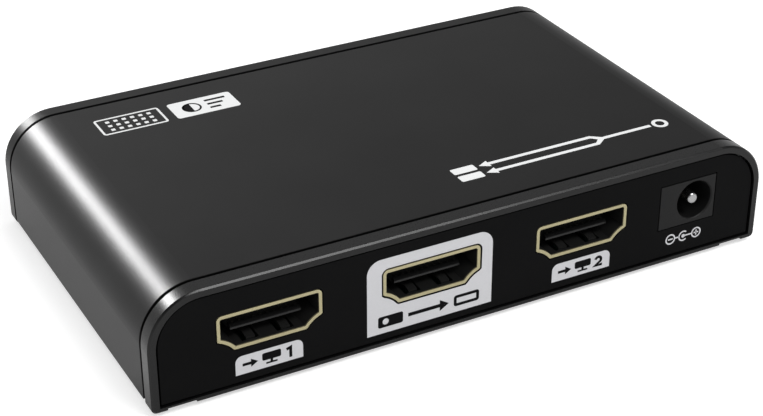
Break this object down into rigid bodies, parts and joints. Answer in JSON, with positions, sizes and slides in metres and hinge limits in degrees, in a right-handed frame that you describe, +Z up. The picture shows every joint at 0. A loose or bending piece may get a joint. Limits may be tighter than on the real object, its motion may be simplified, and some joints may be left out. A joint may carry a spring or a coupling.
{
  "type": "hdmi splitter",
  "caption": "Flat video splitter box: round-shouldered metal cover between plastic end frames, video sockets and a barrel power jack in one end, status lights in the other.",
  "frame": {"origin": "middle of the box's outline, on the surface that the feet stand on", "axes": "+X across the box from output 1 towards the power jack, +Y from the port end to the indicator end, +Z up"},
  "size_m": [0.096, 0.058, 0.0174],
  "materials": {
    "cover": "dark grey satin anodised, fine grain",
    "plate": "zinc-plated sheet",
    "bezel": "dark grey moulded, slight sheen",
    "fascia": "black, fine texture",
    "feet": "matt black",
    "screws": "zinc-plated",
    "sheet": "translucent film",
    "standoffs": "plain turned",
    "board": "green solder resist on glass-epoxy",
    "port_shell": "pale gold plated",
    "insulator": "black moulded",
    "contacts": "gold plated",
    "springs": "pale gold plated",
    "jack": "black moulded",
    "jack_pin": "nickel plated",
    "leaf": "sprung strip",
    "chips": "moulded epoxy",
    "pad": "soft silicone",
    "sink": "plain extruded",
    "ferrite": "sintered ferrite",
    "cans": "drawn can",
    "ceramic": "fired",
    "lenses": "tinted, clear",
    "leads": "tinned"
  },
  "bodies": {
    "box": {"top_cover": "cover", "base_plate": "plate", "port_bezel": "bezel", "indicator_bezel": "bezel", "port_fascia": "fascia", "indicator_fascia": "fascia", "rubber_feet": "feet", "base_screws": "screws", "insulating_sheet": "sheet", "board_standoffs": "standoffs", "board_screws": "screws", "main_board": "board", "output_1_shell": "port_shell", "output_1_insulator": "insulator", "output_1_contacts": "contacts", "input_shell": "port_shell", "input_insulator": "insulator", "input_contacts": "contacts", "output_2_shell": "port_shell", "output_2_insulator": "insulator", "output_2_contacts": "contacts", "power_jack_housing": "jack", "power_jack_pin": "jack_pin", "power_jack_terminal": "jack_pin", "splitter_chip": "chips", "thermal_pad": "pad", "heat_sink": "sink", "voltage_regulators": "chips", "power_inductors": "ferrite", "bulk_capacitors": "cans", "protection_diode": "chips", "clock_crystal": "cans", "surge_arrays": "chips", "chip_passives": "ceramic", "status_lenses": "lenses", "lens_leads": "leads"},
    "output_1_lower_springs": {"output_1_lower_springs": "springs"},
    "output_1_upper_springs": {"output_1_upper_springs": "springs"},
    "input_lower_springs": {"input_lower_springs": "springs"},
    "input_upper_springs": {"input_upper_springs": "springs"},
    "output_2_lower_springs": {"output_2_lower_springs": "springs"},
    "output_2_upper_springs": {"output_2_upper_springs": "springs"},
    "power_jack_leaf": {"power_jack_leaf": "leaf"}
  },
  "joints": [
    {"name": "output_1_lower_give", "type": "hinge", "parent": "box", "child": "output_1_lower_springs", "pos_m": [-0.031, -0.02125, 0.0071], "axis": [1, 0, 0], "range_deg": [0, 4], "stiffness_Nm_per_rad": 0.01},
    {"name": "output_1_upper_give", "type": "hinge", "parent": "box", "child": "output_1_upper_springs", "pos_m": [-0.031, -0.02125, 0.0122], "axis": [-1, 0, 0], "range_deg": [0, 4], "stiffness_Nm_per_rad": 0.01},
    {"name": "input_lower_give", "type": "hinge", "parent": "box", "child": "input_lower_springs", "pos_m": [-0.007, -0.02125, 0.0071], "axis": [1, 0, 0], "range_deg": [0, 4], "stiffness_Nm_per_rad": 0.01},
    {"name": "input_upper_give", "type": "hinge", "parent": "box", "child": "input_upper_springs", "pos_m": [-0.007, -0.02125, 0.0122], "axis": [-1, 0, 0], "range_deg": [0, 4], "stiffness_Nm_per_rad": 0.01},
    {"name": "output_2_lower_give", "type": "hinge", "parent": "box", "child": "output_2_lower_springs", "pos_m": [0.017, -0.02125, 0.0071], "axis": [1, 0, 0], "range_deg": [0, 4], "stiffness_Nm_per_rad": 0.01},
    {"name": "output_2_upper_give", "type": "hinge", "parent": "box", "child": "output_2_upper_springs", "pos_m": [0.017, -0.02125, 0.0122], "axis": [-1, 0, 0], "range_deg": [0, 4], "stiffness_Nm_per_rad": 0.01},
    {"name": "power_jack_leaf_give", "type": "hinge", "parent": "box", "child": "power_jack_leaf", "pos_m": [0.0323, -0.01645, 0.0098], "axis": [0, 0, -1], "range_deg": [0, 3.2], "stiffness_Nm_per_rad": 0.02}
  ]
}
